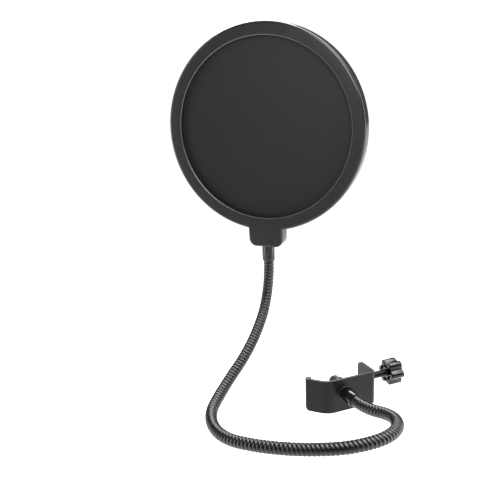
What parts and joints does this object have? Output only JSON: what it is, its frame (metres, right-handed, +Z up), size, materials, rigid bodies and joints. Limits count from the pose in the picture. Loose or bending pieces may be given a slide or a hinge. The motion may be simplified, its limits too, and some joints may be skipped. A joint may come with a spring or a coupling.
{
  "type": "microphone pop filter",
  "caption": "Round two-screen microphone pop filter on a bent gooseneck, with a thumbscrew clamp for a stand tube.",
  "frame": {"origin": "on the axis of a stand tube seated in the clamp jaw, at the mid height of the steel strip", "axes": "+Z up along the stand tube; the head faces -Y"},
  "size_m": [0.203, 0.1607, 0.2653],
  "materials": {
    "ring_plastic": "fine matt texture",
    "screen_fabric": "fine woven nylon",
    "inner_plastic": "plain matt",
    "insert_brass": "machined",
    "bright_steel": "zinc plated",
    "black_screw_steel": "black oxide",
    "ferrule_black": "gloss black",
    "neck_black": "semi-gloss black",
    "neck_core_steel": "spring steel",
    "bracket_black": "satin black coating",
    "knob_plastic": "gloss",
    "pad_plastic": "semi-gloss",
    "pad_rubber": "matt"
  },
  "bodies": {
    "clamp": {"clamp_bracket": "bracket_black", "neck_bolt": "black_screw_steel", "tooth_washer": "bright_steel", "bottom_ferrule": "ferrule_black", "neck_winding_1": "neck_black", "neck_core_1": "neck_core_steel"},
    "neck_front": {"neck_winding_2": "neck_black", "neck_core_2": "neck_core_steel"},
    "neck_middle": {"neck_winding_3": "neck_black", "neck_core_3": "neck_core_steel"},
    "neck_stem": {"neck_winding_4": "neck_black", "neck_core_4": "neck_core_steel"},
    "head": {"neck_winding_5": "neck_black", "neck_core_5": "neck_core_steel", "top_ferrule": "ferrule_black", "top_stud": "bright_steel", "tab_insert": "insert_brass", "tab_screws": "black_screw_steel", "front_ring": "ring_plastic", "rear_ring": "ring_plastic", "ring_pins": "inner_plastic", "front_screen": "screen_fabric", "rear_screen": "screen_fabric", "screen_spacer": "inner_plastic"},
    "pad": {"pressure_pad": "pad_plastic", "pad_facing": "pad_rubber", "pad_clip": "bright_steel"},
    "thumbscrew": {"clamp_screw": "black_screw_steel", "knob": "knob_plastic"}
  },
  "joints": [
    {"name": "neck_base_flex", "type": "hinge", "parent": "clamp", "child": "neck_front", "pos_m": [0.0432, -0.02761, 0.00352], "axis": [0, 0, 1], "range_deg": [-30, 30]},
    {"name": "neck_front_flex", "type": "hinge", "parent": "neck_front", "child": "neck_middle", "pos_m": [0.0279, -0.08779, 0.00847], "axis": [-0.2756, 0.9613, 0], "range_deg": [-25, 30]},
    {"name": "neck_side_flex", "type": "hinge", "parent": "neck_middle", "child": "neck_stem", "pos_m": [-0.06393, -0.04979, 0.00205], "axis": [0, 0, 1], "range_deg": [-30, 30]},
    {"name": "neck_top_flex", "type": "hinge", "parent": "neck_stem", "child": "head", "pos_m": [-0.06083, 0.03577, 0.03373], "axis": [1, 0, 0], "range_deg": [-25, 30]},
    {"name": "pad_travel", "type": "slide", "parent": "clamp", "child": "pad", "axis": [-0.7071, -0.7071, 0], "range_m": [-0.017, 0.016]},
    {"name": "screw_turn", "type": "hinge", "parent": "pad", "child": "thumbscrew", "pos_m": [0, 0, 0.0015], "axis": [-0.7071, -0.7071, 0], "range_deg": [-7660, 7210]}
  ],
  "couplings": [
    {"joint": "screw_turn", "follows": "pad_travel", "rad_per_m": 7854}
  ]
}
